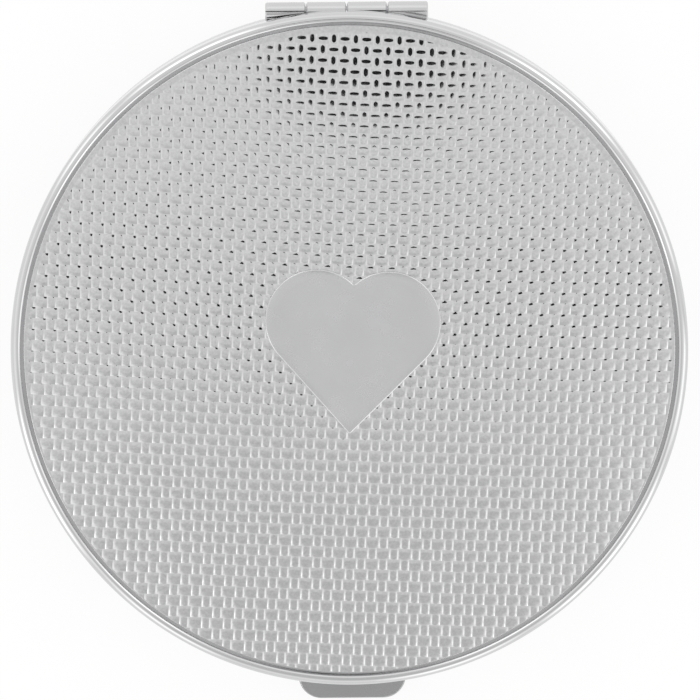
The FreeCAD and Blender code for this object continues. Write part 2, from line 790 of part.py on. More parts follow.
def main():
    """Build the compact and write its pieces."""
    document = FreeCAD.newDocument("compact_mirror")
    compact = Compact(document)
    compact.build()
    export(document, compact.pieces)


main()
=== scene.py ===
"""Compact mirror: the looks of a round metal compact with a woven lid insert and a plain heart.

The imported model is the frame. New surfaces are worked out with numpy, and every finish is procedural.
"""
from math import cos, pi, radians, sin

import bpy
import numpy as np
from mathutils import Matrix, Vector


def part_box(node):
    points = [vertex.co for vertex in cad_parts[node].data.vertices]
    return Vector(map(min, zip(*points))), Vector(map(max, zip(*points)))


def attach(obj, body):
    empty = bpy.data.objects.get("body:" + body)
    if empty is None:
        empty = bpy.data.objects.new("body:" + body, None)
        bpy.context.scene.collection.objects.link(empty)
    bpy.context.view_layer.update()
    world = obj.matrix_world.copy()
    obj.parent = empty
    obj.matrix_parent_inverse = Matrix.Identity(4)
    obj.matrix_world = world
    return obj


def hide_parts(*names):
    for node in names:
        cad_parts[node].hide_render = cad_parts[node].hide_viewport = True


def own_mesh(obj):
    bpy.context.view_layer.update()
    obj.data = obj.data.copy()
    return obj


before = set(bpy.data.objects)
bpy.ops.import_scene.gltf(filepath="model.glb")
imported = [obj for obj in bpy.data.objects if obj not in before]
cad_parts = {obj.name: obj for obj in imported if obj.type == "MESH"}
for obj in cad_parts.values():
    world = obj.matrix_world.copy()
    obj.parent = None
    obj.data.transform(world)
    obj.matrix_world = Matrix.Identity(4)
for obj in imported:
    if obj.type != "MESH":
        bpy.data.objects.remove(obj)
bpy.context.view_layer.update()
INSERT_LOW, INSERT_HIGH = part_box("woven_insert")
PLAQUE_LOW, PLAQUE_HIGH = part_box("heart_plaque")
LID_LOW, LID_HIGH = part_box("lid_shell")
SPRING_LOW, SPRING_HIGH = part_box("latch_spring")

bl_info = {
    "name": "Compact Mirror",
    "version": (1, 0, 0),
    "blender": (4, 5, 0),
    "location": "3D View > Sidebar > Compact",
    "description": "Woven insert, heart and finishes of a round compact mirror",
    "category": "Object",
}

# Units and limits that many properties share.
METRES = {"unit": "LENGTH", "subtype": "DISTANCE", "precision": 6}
ANGLE = {"unit": "ROTATION", "subtype": "ANGLE"}
COLOUR = {"min": 0.0, "max": 1.0, "subtype": "COLOR"}

# Panels of light round the studio: heading in degrees, half widths where a panel is full and where it ends,
# and strength. The last one takes light away.
PANELS = (
    (45.0, 6.0, 16.0, 0.90), (121.0, 6.0, 16.0, 0.80), (149.0, 4.0, 10.0, 0.45),
    (-150.0, 6.0, 15.0, 1.00), (-120.0, 4.0, 11.0, 0.55), (-75.0, 4.0, 12.0, 0.55),
    (-45.0, 7.0, 16.0, 1.00), (-14.0, 5.0, 12.0, 0.50), (14.0, 4.0, 10.0, 0.40), (0.0, 3.0, 8.0, -0.20))
# The ring that the panels stand in: its light between them, the share of the light that is left at its end,
# and the angles from straight up where it starts, is full, fades and ends.
RING_LIGHT = 0.24
RING_REST = 0.3
RING_ANGLES = (40.0, 52.0, 62.0, 88.0)
# The sky: its gain towards the hinge and the span of that, then the dip in front, the spans where it comes
# and goes, and the span where it ends sideways. Spans are of the direction's parts, which go from -1 to 1.
BACK_GAIN = 0.07
BACK_SPAN = (-0.07, 0.05)
DIP_LIGHT = 0.15
DIP_NEAR = (-0.24, -0.10)
DIP_FAR = (-0.65, -0.50)
DIP_SIDES = (0.15, 0.35)
# The inner ring: its light in front, the share of that behind, the light that it gains towards two opposite
# corners and loses towards the others, the most that their product reaches, the gain that makes a product of
# two halves 1, the span from front to back, and the angles.
INNER_LIGHT = 0.46
INNER_SHARE = 0.15
CROSSED_LIGHT = 0.14
CROSSED_PEAK = 0.325
HALVES_GAIN = 4.0
INNER_SPAN = (-0.30, 0.0)
INNER_ANGLES = (14.0, 34.0, 44.0, 56.0)
# The dark lens overhead: its angles off to the right and towards the hinge, its height as a share of its
# width, the angles from its middle where it is full and ends, and the share of light in it.
LENS_ASIDE = 1.05
LENS_BACK = 6.35
LENS_FLATNESS = 0.62
LENS_ANGLES = (2.7, 3.2)
LENS_SHADE = 0.02
# The floor: half of its side and the gap under the base, in metres, so that its top and the base's underside
# are never one plane, and the share of white that it shows.
FLOOR_HALF = 3.0
FLOOR_GAP = 0.00003
FLOOR_WHITE = 0.88

# Corners of the cell round an upright and a level float, as shares of the strand spacing.
UPRIGHT_EDGE = np.array([
    (0.4, -0.22), (0.4, 0.22), (0.4, 0.5), (0.0, 0.5), (-0.4, 0.5),
    (-0.4, 0.22), (-0.4, -0.22), (-0.4, -0.5), (0.0, -0.5), (0.4, -0.5)])
LEVEL_EDGE = np.array([
    (0.6, -0.22), (0.6, 0.22), (0.6, 0.5), (0.4, 0.5), (0.0, 0.5), (-0.4, 0.5), (-0.6, 0.5),
    (-0.6, 0.22), (-0.6, -0.22), (-0.6, -0.5), (-0.4, -0.5), (0.0, -0.5), (0.4, -0.5), (0.6, -0.5)])
# Rings on a float, from its crown out: half sizes, power of the oval, drop, and tilt sideways and endways.
UPRIGHT_RINGS = (
    (0.185, 0.385, 2.0, 0.02, 0.8, 0.8), (0.27, 0.465, 2.5, 0.15, 5.5, 4.5), (0.0, 0.0, 0.0, 1.0, 26.0, 7.6))
LEVEL_RINGS = (
    (0.41, 0.155, 2.0, 0.02, 0.8, 0.8), (0.51, 0.30, 2.5, 0.15, 4.5, 5.5), (0.0, 0.0, 0.0, 1.0, 14.0, 7.6))
# The lattice's corners lie on this many lines for each strand spacing, its middle lies off the lid's, and it
# reaches this many cells past the field.
LATTICE_LINES = 50
LATTICE_SHIFT = np.array([-0.332, 0.447])
SPARE_CELLS = 3
# The insert's border: the most of its width that the edge takes up, how far in the edge's turn lies, as a
# share of the edge, and the relief that its finish takes. The insert's play in its recess is in metres.
EDGE_SHARE = 0.4
EDGE_TURN = 0.3
BORDER_RELIEF = 0.9
INSERT_PLAY = 0.00001
# The struck metal: fineness and shade of its grain, height of the grain in metres, fineness of its wear, and
# the relief up to which the colour falls towards the darker valley colour, which is painted shade.
GRAIN_SCALE = 3600.0
GRAIN_SHADE = 0.84
GRAIN_HEIGHT = 0.0000008
WEAR_SCALE = 2600.0
VALLEY_SHADE_RELIEF = 0.6
# The heart: points on a lobe and round the outline, passes of the running mean, rings on its edge, rise of
# its face in metres, the face's middle as a share of the tip's drop, and the shares of the rings on the face.
ARC_POINTS = 200
OUTLINE_POINTS = 420
MEAN_PASSES = 2
HEART_EDGE_RINGS = 5
HEART_CROWN = 0.00001
HEART_MIDDLE = 0.25
HEART_SHARES = (0.9, 0.7, 0.45, 0.2)
# Columns of the lid's pan in the hinge notch and round the rest, the rings that the notch moves, and the
# rings on the rim's outer and inner rounding.
NOTCH_COLUMNS = 25
PAN_COLUMNS = 361
NOTCH_RINGS = 5
SHOULDER_RINGS = 13
ROLL_RINGS = 7
# Rows along the leaf spring, and its thickness in metres.
SPRING_ROWS = 33
SPRING_SHEET = 0.0002


class WeaveSizes(bpy.types.PropertyGroup):
    """Sizes of the woven insert in the lid."""

    spacing_across: bpy.props.FloatProperty(
        name="Spacing across", description="Distance between neighbouring upright strands",
        default=0.0011311, min=0.0005, **METRES)
    spacing_along: bpy.props.FloatProperty(
        name="Spacing along", description="Distance between neighbouring level strands",
        default=0.0011332, min=0.0005, **METRES)
    turn: bpy.props.FloatProperty(
        name="Turn", description="How far the weave is turned clockwise on the lid",
        default=radians(2.33), **ANGLE)
    relief: bpy.props.FloatProperty(
        name="Relief", description="Depth from a strand's crown to the valley beside it",
        default=0.00005, min=0.00001, **METRES)
    field_radius: bpy.props.FloatProperty(
        name="Field radius", description="Radius of the woven field inside its plain border",
        default=0.0333, min=0.01, **METRES)
    field_shift: bpy.props.FloatProperty(
        name="Field shift", description="How far the woven field sits towards the front",
        default=0.00033, **METRES)
    dome_rise: bpy.props.FloatProperty(
        name="Dome rise", description="Height of the dome over the border of the insert",
        default=0.0020, min=0.0, **METRES)
    sheet: bpy.props.FloatProperty(
        name="Sheet", description="Thickness of the insert at its border",
        default=0.00045, min=0.0001, **METRES)
    edge: bpy.props.FloatProperty(
        name="Edge", description="Rounding of the insert's edge, where the border has room",
        default=0.00014, min=0.00001, **METRES)


class LidSizes(bpy.types.PropertyGroup):
    """Sizes of the lid's pan and its rim."""

    shoulder: bpy.props.FloatProperty(
        name="Shoulder", description="Radius of the outer rounding of the rim",
        default=0.00072, min=0.0001, **METRES)
    roll: bpy.props.FloatProperty(
        name="Roll", description="Radius of the inner rounding of the rim",
        default=0.00028, min=0.00005, **METRES)
    gutter: bpy.props.FloatProperty(
        name="Gutter", description="Depth of the gutter round the insert",
        default=0.000155, min=0.00005, **METRES)
    ledge: bpy.props.FloatProperty(
        name="Ledge", description="Height of the gutter's edges over the insert's seat",
        default=0.00028, min=0.00005, **METRES)
    belly: bpy.props.FloatProperty(
        name="Belly", description="Height of the widest ring over the floor",
        default=0.0068, min=0.005, **METRES)
    side: bpy.props.FloatProperty(
        name="Side", description="Radius of the side below the widest ring",
        default=0.008, min=0.003, **METRES)
    bevel: bpy.props.FloatProperty(
        name="Bevel", description="Bevel at the seam", default=0.0002, min=0.00005, **METRES)
    wall: bpy.props.FloatProperty(
        name="Wall", description="Thickness of the wall at the widest ring",
        default=0.0011, min=0.0005, **METRES)
    floor: bpy.props.FloatProperty(
        name="Floor", description="Thickness of the pan under the insert",
        default=0.0007, min=0.0003, **METRES)
    notch_half: bpy.props.FloatProperty(
        name="Notch", description="Half of the width of the hinge notch",
        default=0.00855, min=0.001, **METRES)
    leaf_top: bpy.props.FloatProperty(
        name="Leaf seat", description="Height of the seat of the hinge leaf",
        default=0.0054, min=0.001, **METRES)
    bay_top: bpy.props.FloatProperty(
        name="Bay top", description="Height of the bay over the knuckles",
        default=0.00555, min=0.001, **METRES)
    bay: bpy.props.FloatProperty(
        name="Bay", description="Distance of the bay from the middle of the lid",
        default=0.03351, min=0.01, **METRES)


class HeartSizes(bpy.types.PropertyGroup):
    """Sizes of the plain heart on the insert."""

    lobe: bpy.props.FloatProperty(
        name="Lobe radius", description="Radius of each round lobe",
        default=0.00534, min=0.001, **METRES)
    spread: bpy.props.FloatProperty(
        name="Lobe spread", description="Distance of each lobe's centre from the middle line",
        default=0.00373, min=0.001, **METRES)
    drop: bpy.props.FloatProperty(
        name="Tip drop", description="Distance of the tip below the centres of the lobes",
        default=0.0117, min=0.001, **METRES)
    lift: bpy.props.FloatProperty(
        name="Lift", description="Distance of the lobe centres behind the middle of the lid",
        default=0.00311, **METRES)
    shift: bpy.props.FloatProperty(
        name="Shift", description="Distance of the middle line to the right",
        default=0.00028, **METRES)
    turn: bpy.props.FloatProperty(
        name="Turn", description="How far the heart is turned clockwise",
        default=radians(2.2), **ANGLE)
    edge_round: bpy.props.FloatProperty(
        name="Edge rounding", description="Radius of the rounded top edge",
        default=0.00012, min=0.00001, **METRES)


class Finishes(bpy.types.PropertyGroup):
    """Colours of the finishes."""

    silver: bpy.props.FloatVectorProperty(
        name="Silver", description="Polished plating of the shells and the hinge",
        default=(0.66, 0.66, 0.665), **COLOUR)
    crown: bpy.props.FloatVectorProperty(
        name="Crown", description="Plating on the crowns of the weave",
        default=(0.715, 0.715, 0.72), **COLOUR)
    # Painted shade: this darker colour stands for the shade low in the weave, where its relief is low.
    valley: bpy.props.FloatVectorProperty(
        name="Valley", description="Plating low in the weave, where polishing does not reach",
        default=(0.67, 0.67, 0.675), **COLOUR)
    # Painted shade: the tab's plating is darker than the shells' silver, standing for the shade under the
    # lid's rim.
    tab: bpy.props.FloatVectorProperty(
        name="Tab", description="Satin plating of the push tab",
        default=(0.39, 0.39, 0.395), **COLOUR)
    steel: bpy.props.FloatVectorProperty(
        name="Steel", description="Bare steel of the latch and the pin",
        default=(0.42, 0.425, 0.44), **COLOUR)
    glass: bpy.props.FloatVectorProperty(
        name="Glass", description="Silvered mirror glass",
        default=(0.62, 0.64, 0.65), **COLOUR)
    foam: bpy.props.FloatVectorProperty(
        name="Foam", description="Adhesive foam pads",
        default=(0.78, 0.77, 0.74), **COLOUR)


class StageSizes(bpy.types.PropertyGroup):
    """Camera and light."""

    height: bpy.props.FloatProperty(
        name="Camera height", description="Height of the camera over the rim of the lid",
        default=2.6, min=0.2, **METRES)
    field: bpy.props.FloatProperty(
        name="Frame width", description="Width that the camera sees at the height of the rim",
        default=0.07228, min=0.01, **METRES)
    target: bpy.props.FloatVectorProperty(
        name="Target", description="Point in the middle of the picture",
        default=(0.000061, -0.000033, 0.0088), unit="LENGTH", subtype="TRANSLATION", precision=6)
    tilt: bpy.props.FloatProperty(
        name="Tilt", description="How far the camera stands off from straight above, towards the hinge",
        default=radians(7.0), **ANGLE)
    roll: bpy.props.FloatProperty(
        name="Roll", description="Roll of the camera about its line of sight",
        default=radians(-0.48), **ANGLE)
    sky: bpy.props.FloatProperty(
        name="Sky", description="Brightness of the studio overhead",
        default=0.82, min=0.0, subtype="FACTOR")
    floor: bpy.props.FloatVectorProperty(
        name="Floor", description="Colour of the floor",
        default=(0.92, 0.92, 0.92), **COLOUR)


def settings():
    """The scene's own values of the compact."""
    return bpy.context.scene.compact


def put(tree, kind, inputs=None, **choices):
    """Adds a node. Each input is a socket to link or a value to set."""
    made = tree.nodes.new(kind)
    for name, choice in choices.items():
        setattr(made, name, choice)
    for name, given in (inputs or {}).items():
        if isinstance(given, bpy.types.NodeSocket):
            tree.links.new(given, made.inputs[name])
        else:
            made.inputs[name].default_value = given
    return made


def calc(tree, operation, *values):
    """One step of arithmetic on numbers."""
    return put(tree, "ShaderNodeMath", dict(enumerate(values)), operation=operation).outputs[0]


def aim(tree, operation, *values):
    """One step on directions. A dot product and a length are numbers."""
    made = put(tree, "ShaderNodeVectorMath", dict(enumerate(values)), operation=operation)
    return made.outputs["Value" if operation in ("DOT_PRODUCT", "LENGTH") else "Vector"]


def start_material(name):
    """A new material with an empty tree, and the place on the piece that its patterns read."""
    made = bpy.data.materials.new(name)
    made.use_nodes = True
    made.node_tree.nodes.clear()
    return made, made.node_tree, put(made.node_tree, "ShaderNodeTexCoord").outputs["Object"]


def end_material(tree, shader):
    """Joins the shader to the surface."""
    output = put(tree, "ShaderNodeOutputMaterial")
    tree.links.new(shader.outputs[0], output.inputs["Surface"])


def noise(tree, place, scale, detail=2.0, stretch=None):
    """Noise over Object coordinates, drawn out along an axis where stretch is given."""
    if stretch:
        place = put(tree, "ShaderNodeMapping", {"Vector": place, "Scale": stretch}).outputs[0]
    return put(tree, "ShaderNodeTexNoise", {"Vector": place, "Scale": scale, "Detail": detail}).outputs[0]


def spread(tree, value, low, high, start=0.3, end=0.7):
    """Carries a value from start..end to low..high."""
    inputs = {"Value": value, "From Min": start, "From Max": end, "To Min": low, "To Max": high}
    return put(tree, "ShaderNodeMapRange", inputs).outputs[0]


def tint(tree, factor, first, second):
    """A colour between two, by a factor. The mix has its colours in the inputs 6 and 7 and gives output 2."""
    made = put(tree, "ShaderNodeMix", {"Factor": factor}, data_type="RGBA")
    for socket, colour in ((made.inputs[6], first), (made.inputs[7], second)):
        if isinstance(colour, bpy.types.NodeSocket):
            tree.links.new(colour, socket)
        else:
            socket.default_value = (*colour, 1.0)
    return made.outputs[2]


def darker(colour, share):
    """A colour at a share of its brightness."""
    return tuple(part * share for part in colour)


def plated_metal(name, colour, smooth, rough, haze=160.0, hairline=0.0, stretch=(1.0, 1.0, 1.0)):
    """Plated metal: tone drifts over a few millimetres and roughness three times as finely.

    Where hairline is given, fine lines run along the axis with the least stretch.
    """
    made, tree, place = start_material(name)
    drift = noise(tree, place, haze, detail=3.0)
    fine = noise(tree, place, haze * 3.0, detail=3.0)
    inputs = {
        "Base Color": tint(tree, spread(tree, drift, 0.0, 1.0), darker(colour, share=0.96), colour),
        "Metallic": 1.0,
        "Roughness": spread(tree, fine, smooth, rough),
    }
    if hairline:
        lines = noise(tree, place, scale=900.0, stretch=stretch)
        bump = put(tree, "ShaderNodeBump", {"Strength": hairline, "Distance": 0.00002, "Height": lines})
        inputs["Normal"] = bump.outputs[0]
    end_material(tree, put(tree, "ShaderNodeBsdfPrincipled", inputs))
    return made


def struck_metal(name, crown, valley):
    """Struck plating: the crown colour on the crowns and the darker valley colour low in the weave, by the
    relief of the surface, which is painted shade in the valleys.
    """
    made, tree, place = start_material(name)
    height = put(tree, "ShaderNodeAttribute", attribute_name="relief").outputs["Fac"]
    # Painted shade: the colour darkens from the crowns to the valleys as the relief falls.
    unshaded_share = spread(tree, height, 0.0, 1.0, start=0.0, end=VALLEY_SHADE_RELIEF)
    grain = noise(tree, place, GRAIN_SCALE)
    bright = tint(tree, spread(tree, grain, 0.0, 1.0), darker(crown, GRAIN_SHADE), crown)
    wear = noise(tree, place, WEAR_SCALE)
    bump = put(tree, "ShaderNodeBump", {"Height": grain, "Strength": 1.0, "Distance": GRAIN_HEIGHT})
    inputs = {
        "Base Color": tint(tree, unshaded_share, valley, bright),
        "Metallic": 1.0,
        "Roughness": spread(tree, wear, low=0.04, high=0.07),
        "Normal": bump.outputs[0],
    }
    end_material(tree, put(tree, "ShaderNodeBsdfPrincipled", inputs))
    return made


def mirror_glass(name, colour):
    """Silvered glass: a near perfect mirror with a clear coat and a trace of haze."""
    made, tree, place = start_material(name)
    haze = noise(tree, place, scale=90.0, detail=4.0)
    inputs = {
        "Base Color": tint(tree, spread(tree, haze, 0.0, 1.0), darker(colour, share=0.985), colour),
        "Metallic": 1.0,
        "Roughness": spread(tree, haze, low=0.004, high=0.016),
        "Coat Weight": 0.6,
        "Coat Roughness": 0.01,
        "Coat IOR": 1.52,
    }
    end_material(tree, put(tree, "ShaderNodeBsdfPrincipled", inputs))
    return made


def pad_foam(name, colour):
    """Closed-cell foam: small pale cells with soft pits, darkened by painted shade."""
    made, tree, place = start_material(name)
    cells = put(tree, "ShaderNodeTexVoronoi", {"Vector": place, "Scale": 2400.0}).outputs["Distance"]
    bump = put(tree, "ShaderNodeBump", {"Strength": 0.6, "Distance": 0.0001, "Height": cells})
    # Painted shade: the colour darkens towards the bottom of each pit.
    pale = spread(tree, cells, 0.0, 1.0, start=0.0, end=0.7)
    inputs = {
        "Base Color": tint(tree, pale, darker(colour, share=0.7), colour),
        "Roughness": spread(tree, cells, low=0.95, high=0.75, start=0.0, end=0.7),
        "Normal": bump.outputs[0],
    }
    end_material(tree, put(tree, "ShaderNodeBsdfPrincipled", inputs))
    return made


def dress(names, material):
    """Puts one finish on CAD nodes."""
    for name in names:
        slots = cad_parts[name].data.materials
        slots.clear()
        slots.append(material)


def add_piece(name, corners, faces, material, body, node, normals=None, relief=None):
    """Makes a mesh piece that rides on a body and stands for a CAD node."""
    mesh = bpy.data.meshes.new(name)
    mesh.from_pydata(corners, [], faces)
    mesh.update()
    mesh.polygons.foreach_set("use_smooth", np.ones(len(mesh.polygons), dtype=bool))
    if relief is not None:
        layer = mesh.attributes.new("relief", "FLOAT", "POINT")
        layer.data.foreach_set("value", relief.astype(np.float32))
    if normals is not None:
        mesh.normals_split_custom_set(normals / np.linalg.norm(normals, axis=1, keepdims=True))
    mesh.materials.append(material)
    piece = bpy.data.objects.new(name, mesh)
    bpy.context.scene.collection.objects.link(piece)
    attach(piece, body)
    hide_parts(node)
    return piece


def clockwise(turn):
    """The matrix that turns rows of flat points clockwise."""
    return np.array([[cos(turn), -sin(turn)], [sin(turn), cos(turn)]])


def ring_bands(count, rings):
    """The four-sided faces between neighbouring rings of count points, each ring numbered after the last."""
    start = np.arange(count) + count * np.arange(rings - 1)[:, None]
    follow = np.roll(start, -1, axis=1)
    return np.stack([start, start + count, follow + count, follow], axis=-1).reshape(-1, 4)


def heart_outline(sizes):
    """Points round the heart, evenly spaced.

    Each half is an arc of the lobe from the notch to the tangent through the tip, then that tangent.
    The other half is its mirror image, and a light running mean rounds the notch and the tip.
    """
    reach = np.hypot(sizes.spread, sizes.drop)
    side = np.sqrt(reach ** 2 - sizes.lobe ** 2)
    touch_x = (side * sizes.spread + sizes.lobe * sizes.drop) / reach ** 2 * side
    touch_y = (side * sizes.drop - sizes.lobe * sizes.spread) / reach ** 2 * side - sizes.drop
    notch = np.sqrt(sizes.lobe ** 2 - sizes.spread ** 2)
    first = np.arctan2(notch, -sizes.spread)
    last = np.arctan2(touch_y, touch_x - sizes.spread)
    angle = np.linspace(first, last, ARC_POINTS)
    arc = np.stack([sizes.spread + sizes.lobe * np.cos(angle), sizes.lobe * np.sin(angle)], axis=1)
    tip = np.array([[0.0, -sizes.drop]])
    half = np.concatenate([arc, tip])
    mirrored = half[-2:0:-1] * np.array([-1.0, 1.0])
    ring = np.concatenate([half, mirrored, half[:1]])
    run = np.concatenate([[0.0], np.cumsum(np.hypot(*np.diff(ring, axis=0).T))])
    even = np.linspace(0.0, run[-1], OUTLINE_POINTS, endpoint=False)
    points = np.stack([np.interp(even, run, ring[:, 0]), np.interp(even, run, ring[:, 1])], axis=1)
    for _ in range(MEAN_PASSES):
        points = 0.25 * np.roll(points, 1, axis=0) + 0.5 * points + 0.25 * np.roll(points, -1, axis=0)
    return (points + np.array([sizes.shift, sizes.lift])) @ clockwise(sizes.turn)


def inward(points):
    """The mitred inward direction at each point of a ring that runs clockwise."""
    step = np.roll(points, -1, axis=0) - points
    step /= np.linalg.norm(step, axis=1, keepdims=True)
    ahead = np.stack([step[:, 1], -step[:, 0]], axis=1)
    behind = np.roll(ahead, 1, axis=0)
    return (ahead + behind) / (1.0 + np.sum(ahead * behind, axis=1, keepdims=True))


def heart_plate(sizes):
    """The heart's plate: corners and faces.

    A quarter-round edge is carried inwards from the outline. Its last ring is then drawn in to the middle in
    steps, and the face falls from the middle by the square of the step.
    """
    outline = heart_outline(sizes)
    way = inward(outline)
    count = len(outline)
    low, high = PLAQUE_LOW[2], PLAQUE_HIGH[2]
    turn = np.linspace(0.0, 0.5 * pi, HEART_EDGE_RINGS)
    insets = np.concatenate([[0.0], sizes.edge_round * (1.0 - np.cos(turn))])
    levels = np.concatenate([[low], high - sizes.edge_round * (1.0 - np.sin(turn)) - HEART_CROWN])
    rings = [np.column_stack([outline + inset * way, np.full(count, level)])
             for inset, level in zip(insets, levels)]
    middle = np.array([sizes.shift, sizes.lift - HEART_MIDDLE * sizes.drop])
    inner = rings[-1][:, :2]
    for share in HEART_SHARES:
        level = high - HEART_CROWN * share ** 2
        rings.append(np.column_stack([middle + share * (inner - middle), np.full(count, level)]))
    corners = np.concatenate([*rings, [[*middle, high], [*middle, low]]])
    start = np.arange(count)
    follow = np.roll(start, -1)
    last = (len(rings) - 1) * count
    cap = np.stack([start + last, np.full(count, len(corners) - 2), follow + last], axis=1)
    under = np.stack([follow, np.full(count, len(corners) - 1), start], axis=1)
    return corners, ring_bands(count, len(rings)).tolist() + cap.tolist() + under.tolist()


def inside_ring(x, y, ring):
    """Which points lie inside a ring, by counting crossings of a level ray, one array for each edge."""
    held = np.zeros(x.shape, dtype=bool)
    for start, end in zip(ring, np.roll(ring, -1, axis=0)):
        spans = (start[1] > y) != (end[1] > y)
        rise = end[1] - start[1]
        if rise:
            held ^= spans & (x < (end[0] - start[0]) * (y - start[1]) / rise + start[0])
    return held


def float_cell(edge, rings):
    """One float of the weave: places, drops and leans of its rings, from the crown out to the cell's edge.

    Each ring is an oval, cos and sin of an angle raised to two over its power, and the last is the edge
    itself. A lean is the tangent of the ring's tilt, turned to face away from the oval.
    """
    angle = np.arctan2(edge[:, 1] / edge[:, 1].max(), edge[:, 0] / edge[:, 0].max())
    facing = np.stack([np.cos(angle), np.sin(angle)], axis=1)
    places, drops, leans = [], [], []
    for wide, long, power, drop, sideways, endways in rings:
        oval = np.sign(facing) * np.abs(facing) ** (2.0 / power) * (wide, long) if power else edge
        tilts = np.tan(np.radians((sideways, endways)))
        places.append(oval)
        drops.append(np.full(len(edge), drop))
        leans.append(facing * tilts)
    return np.concatenate(places), np.concatenate(drops), np.concatenate(leans)


def lay_floats(kind, edge, rings, cells, first):
    """All floats of one kind: lattice places, drops, leans, which corners cells share, crowns and bands.

    A float stands on every other cell of the lattice. Its crown is one face, and a band of four-sided faces
    follows for each ring. Corners are numbered from first on.
    """
    index = np.arange(-cells, cells + 1)
    column, row = (grid.ravel() for grid in np.meshgrid(index, index, indexing="ij"))
    chosen = (column + row) % 2 == kind
    centre = np.stack([column[chosen], row[chosen]], axis=1)
    places, drops, leans = float_cell(edge, rings)
    crown, bands = np.arange(len(edge)), ring_bands(len(edge), len(rings))
    shift = first + len(places) * np.arange(len(centre))[:, None, None]
    lattice = (centre[:, None, :] + places[None, :, :]).reshape(-1, 2)
    shared = np.tile(np.arange(len(places)) >= len(edge) * (len(rings) - 1), len(centre))
    return (lattice, np.tile(drops, len(centre)), np.tile(leans, (len(centre), 1)), shared,
            (crown + shift).reshape(-1, len(edge)), (bands + shift).reshape(-1, 4))


def join_corners(lattice, shared):
    """Numbers the corners so that those that cells share, which lie on lattice lines, become one."""
    lines = np.round(lattice * LATTICE_LINES).astype(np.int64)
    width = np.ptp(lines[:, 0]) + 1
    key = (lines[:, 1] - lines[:, 1].min()) * width + lines[:, 0] - lines[:, 0].min()
    alone = key.max() + 1 + np.arange(len(key))
    _, kept, number = np.unique(np.where(shared, key, alone), return_index=True, return_inverse=True)
    return kept, number


def edge_pairs(faces):
    """The directed edges of faces that have the same number of corners."""
    return np.stack([faces, np.roll(faces, -1, axis=1)], axis=-1).reshape(-1, 2)


def open_edges(pairs):
    """Those directed edges that only one face uses."""
    low, high = pairs.min(axis=1), pairs.max(axis=1)
    _, place, uses = np.unique(low * (pairs.max() + 1) + high, return_inverse=True, return_counts=True)
    return pairs[uses[place] == 1]


def cut_faces(faces, held, first):
    """Cuts the faces that cross the edge of the field.

    Gives whole and cut faces by their number of corners, and the pairs of corners, inside and outside,
    between which the new corners lie. New corners are numbered from first on.
    """
    inside = held[faces]
    groups = [faces[inside.all(axis=1)]]
    pairs = []
    split = inside.any(axis=1) & ~inside.all(axis=1)
    faces, inside = faces[split], inside[split]
    begin = np.argmax(inside & ~np.roll(inside, 1, axis=1), axis=1)
    faces = np.take_along_axis(faces, (begin[:, None] + np.arange(faces.shape[1])) % faces.shape[1], axis=1)
    counts = inside.sum(axis=1)
    for count in np.unique(counts):
        some = faces[counts == count]
        number = first + 2 * np.arange(len(some))
        groups.append(np.column_stack([number, some[:, :count], number + 1]))
        pairs.append(np.stack([some[:, [0, -1]], some[:, [count - 1, count]]], axis=1).reshape(-1, 2))
        first += 2 * len(some)
    return groups, pairs, first


def circle_share(inner, outer, radius):
    """How far along each line, from its inner to its outer end, a circle round the origin is met."""
    step = outer - inner
    length = np.sum(step ** 2, axis=1)
    half = np.sum(inner * step, axis=1)
    return (np.sqrt(half ** 2 - length * (np.sum(inner ** 2, axis=1) - radius ** 2)) - half) / length


def woven_field(sizes, heart):
    """The woven dome: corners, faces, normals of the faces' corners, and relief, inside the field's circle.

    Floats of a plain weave stand by turns upright and level on a lattice that is turned onto the lid. The
    height is a sphere through the border and the crown, less the drop of each ring. Faces are cut where
    they cross the field's circle, and below the heart the sheet is plain.
    """
    cells = int(sizes.field_radius / min(sizes.spacing_across, sizes.spacing_along)) + SPARE_CELLS
    upright = lay_floats(0, UPRIGHT_EDGE, UPRIGHT_RINGS, cells, 0)
    level = lay_floats(1, LEVEL_EDGE, LEVEL_RINGS, cells, len(upright[0]))
    lattice, drop, lean, shared = (np.concatenate(both) for both in zip(upright[:4], level[:4]))
    spacing = np.array([sizes.spacing_across, sizes.spacing_along])
    turn = clockwise(sizes.turn)
    middle = np.array([0.0, -sizes.field_shift])
    place = ((lattice + LATTICE_SHIFT) * spacing) @ turn
    held = np.linalg.norm(place - middle, axis=1) < sizes.field_radius
    groups, pairs, count = [], [], len(held)
    for faces in (upright[4], level[4], upright[5], level[5]):
        made, ends, count = cut_faces(faces, held, count)
        groups += made
        pairs += ends
    inner, outer = np.concatenate(pairs).T
    share = circle_share(place[inner] - middle, place[outer] - middle, sizes.field_radius)[:, None]
    shape = np.column_stack([place, lean @ turn, drop])
    shape = np.concatenate([shape, shape[inner] + share * (shape[outer] - shape[inner])])
    place, lean, drop = shape[:, :2], shape[:, 2:4], shape[:, 4]
    foot = sizes.field_radius + sizes.field_shift
    ball = (foot ** 2 + sizes.dome_rise ** 2) / (2.0 * sizes.dome_rise)
    crown = INSERT_LOW[2] + sizes.sheet + sizes.dome_rise
    dome = crown - ball + np.sqrt(ball ** 2 - np.sum(place ** 2, axis=1))
    covered = inside_ring(place[:, 0], place[:, 1], heart + sizes.spacing_along * inward(heart))
    height = np.where(covered, PLAQUE_LOW[2], dome - drop * sizes.relief)
    normals = np.column_stack([lean + place / ball, np.ones(len(place))])
    kept, number = join_corners(lattice, shared)
    met = number[inner] * len(kept) + number[outer]
    _, chosen, extra = np.unique(met, return_index=True, return_inverse=True)
    number = np.concatenate([number, len(kept) + extra])
    kept = np.concatenate([kept, len(held) + chosen])
    used = np.unique(np.concatenate([number[group].ravel() for group in groups]))
    label = np.zeros(len(kept), dtype=np.int64)
    label[used] = np.arange(len(used))
    corners = np.column_stack([place, height])[kept[used]]
    shading = np.concatenate([normals[group.ravel()] for group in groups])
    return corners, [label[number[group]] for group in groups], shading, 1.0 - drop[kept[used]]


